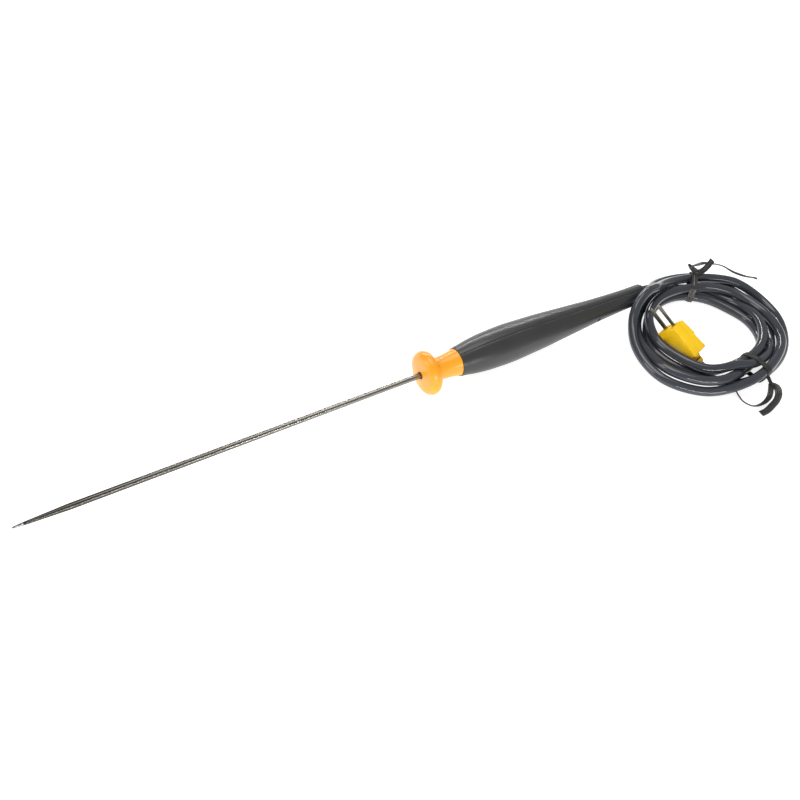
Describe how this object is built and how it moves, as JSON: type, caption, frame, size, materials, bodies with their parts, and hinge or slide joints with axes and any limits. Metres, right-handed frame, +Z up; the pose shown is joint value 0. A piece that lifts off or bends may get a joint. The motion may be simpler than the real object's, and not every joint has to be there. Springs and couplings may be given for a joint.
{
  "type": "hand-held thermocouple probe",
  "caption": "Long thin steel probe with a tapered tip, orange finger guard and dark moulded grip; its coiled lead, held by twist ties, ends in a flat yellow two-blade plug.",
  "frame": {"origin": "middle of the probe's length, on its axis seen from above, at the height of the surface that the finger guard's rim rests on; the coil, its ties and the plug are left out of this", "axes": "+X runs along the probe from the tip to the rear of the grip, +Z is up from the surface it lies on, and +Y completes a right-handed frame, so the coil lies mostly on the -Y side"},
  "size_m": [0.4867, 0.1178, 0.0313],
  "materials": {
    "stem_steel": "drawn stainless sheath, darker toward the tip",
    "tip_steel": "bright welded and ground tip",
    "mineral_insulation": "compacted white powder",
    "thermo_alloy": "bare drawn alloy wire",
    "seal_rubber": "dark set sealant",
    "orange_plastic": "satin moulded nylon",
    "core_plastic": "moulded, unpolished",
    "grip_rubber": "satin moulded elastomer",
    "bush_brass": "turned",
    "potting_resin": "cast epoxy",
    "crimp_metal": "tin plated",
    "yellow_insulation": "extruded",
    "red_insulation": "extruded",
    "cable_jacket": "smooth extruded, semi-gloss",
    "boot_rubber": "satin moulded",
    "plug_plastic": "satin moulded thermoset",
    "plug_boot_rubber": "satin moulded",
    "blade_alloy": "stamped",
    "tie_plastic": "thin flat ribbon with a wire in it"
  },
  "bodies": {
    "root": {"sheath": "stem_steel", "sensing_tip": "tip_steel", "insulation_core": "mineral_insulation", "wire_positive": "thermo_alloy", "wire_negative": "thermo_alloy", "hot_junction": "thermo_alloy", "stem_seal": "seal_rubber", "collar": "orange_plastic", "handle_core": "core_plastic", "grip": "grip_rubber", "transition_bush": "bush_brass", "potting": "potting_resin", "splice_positive": "crimp_metal", "splice_negative": "crimp_metal", "lead_positive": "yellow_insulation", "lead_negative": "red_insulation", "cable_end": "cable_jacket", "cable_crimp": "crimp_metal", "strain_relief": "boot_rubber", "cable_lead": "cable_jacket", "cable_coil": "cable_jacket", "cable_bridge": "cable_jacket", "cable_tail": "cable_jacket", "plug_base": "plug_plastic", "plug_cover": "plug_plastic", "plug_boot": "plug_boot_rubber", "blade_positive": "blade_alloy", "blade_negative": "blade_alloy", "terminal_screws": "crimp_metal", "cover_screw": "crimp_metal", "tie_upper": "tie_plastic", "tie_lower": "tie_plastic"}
  },
  "joints": []
}
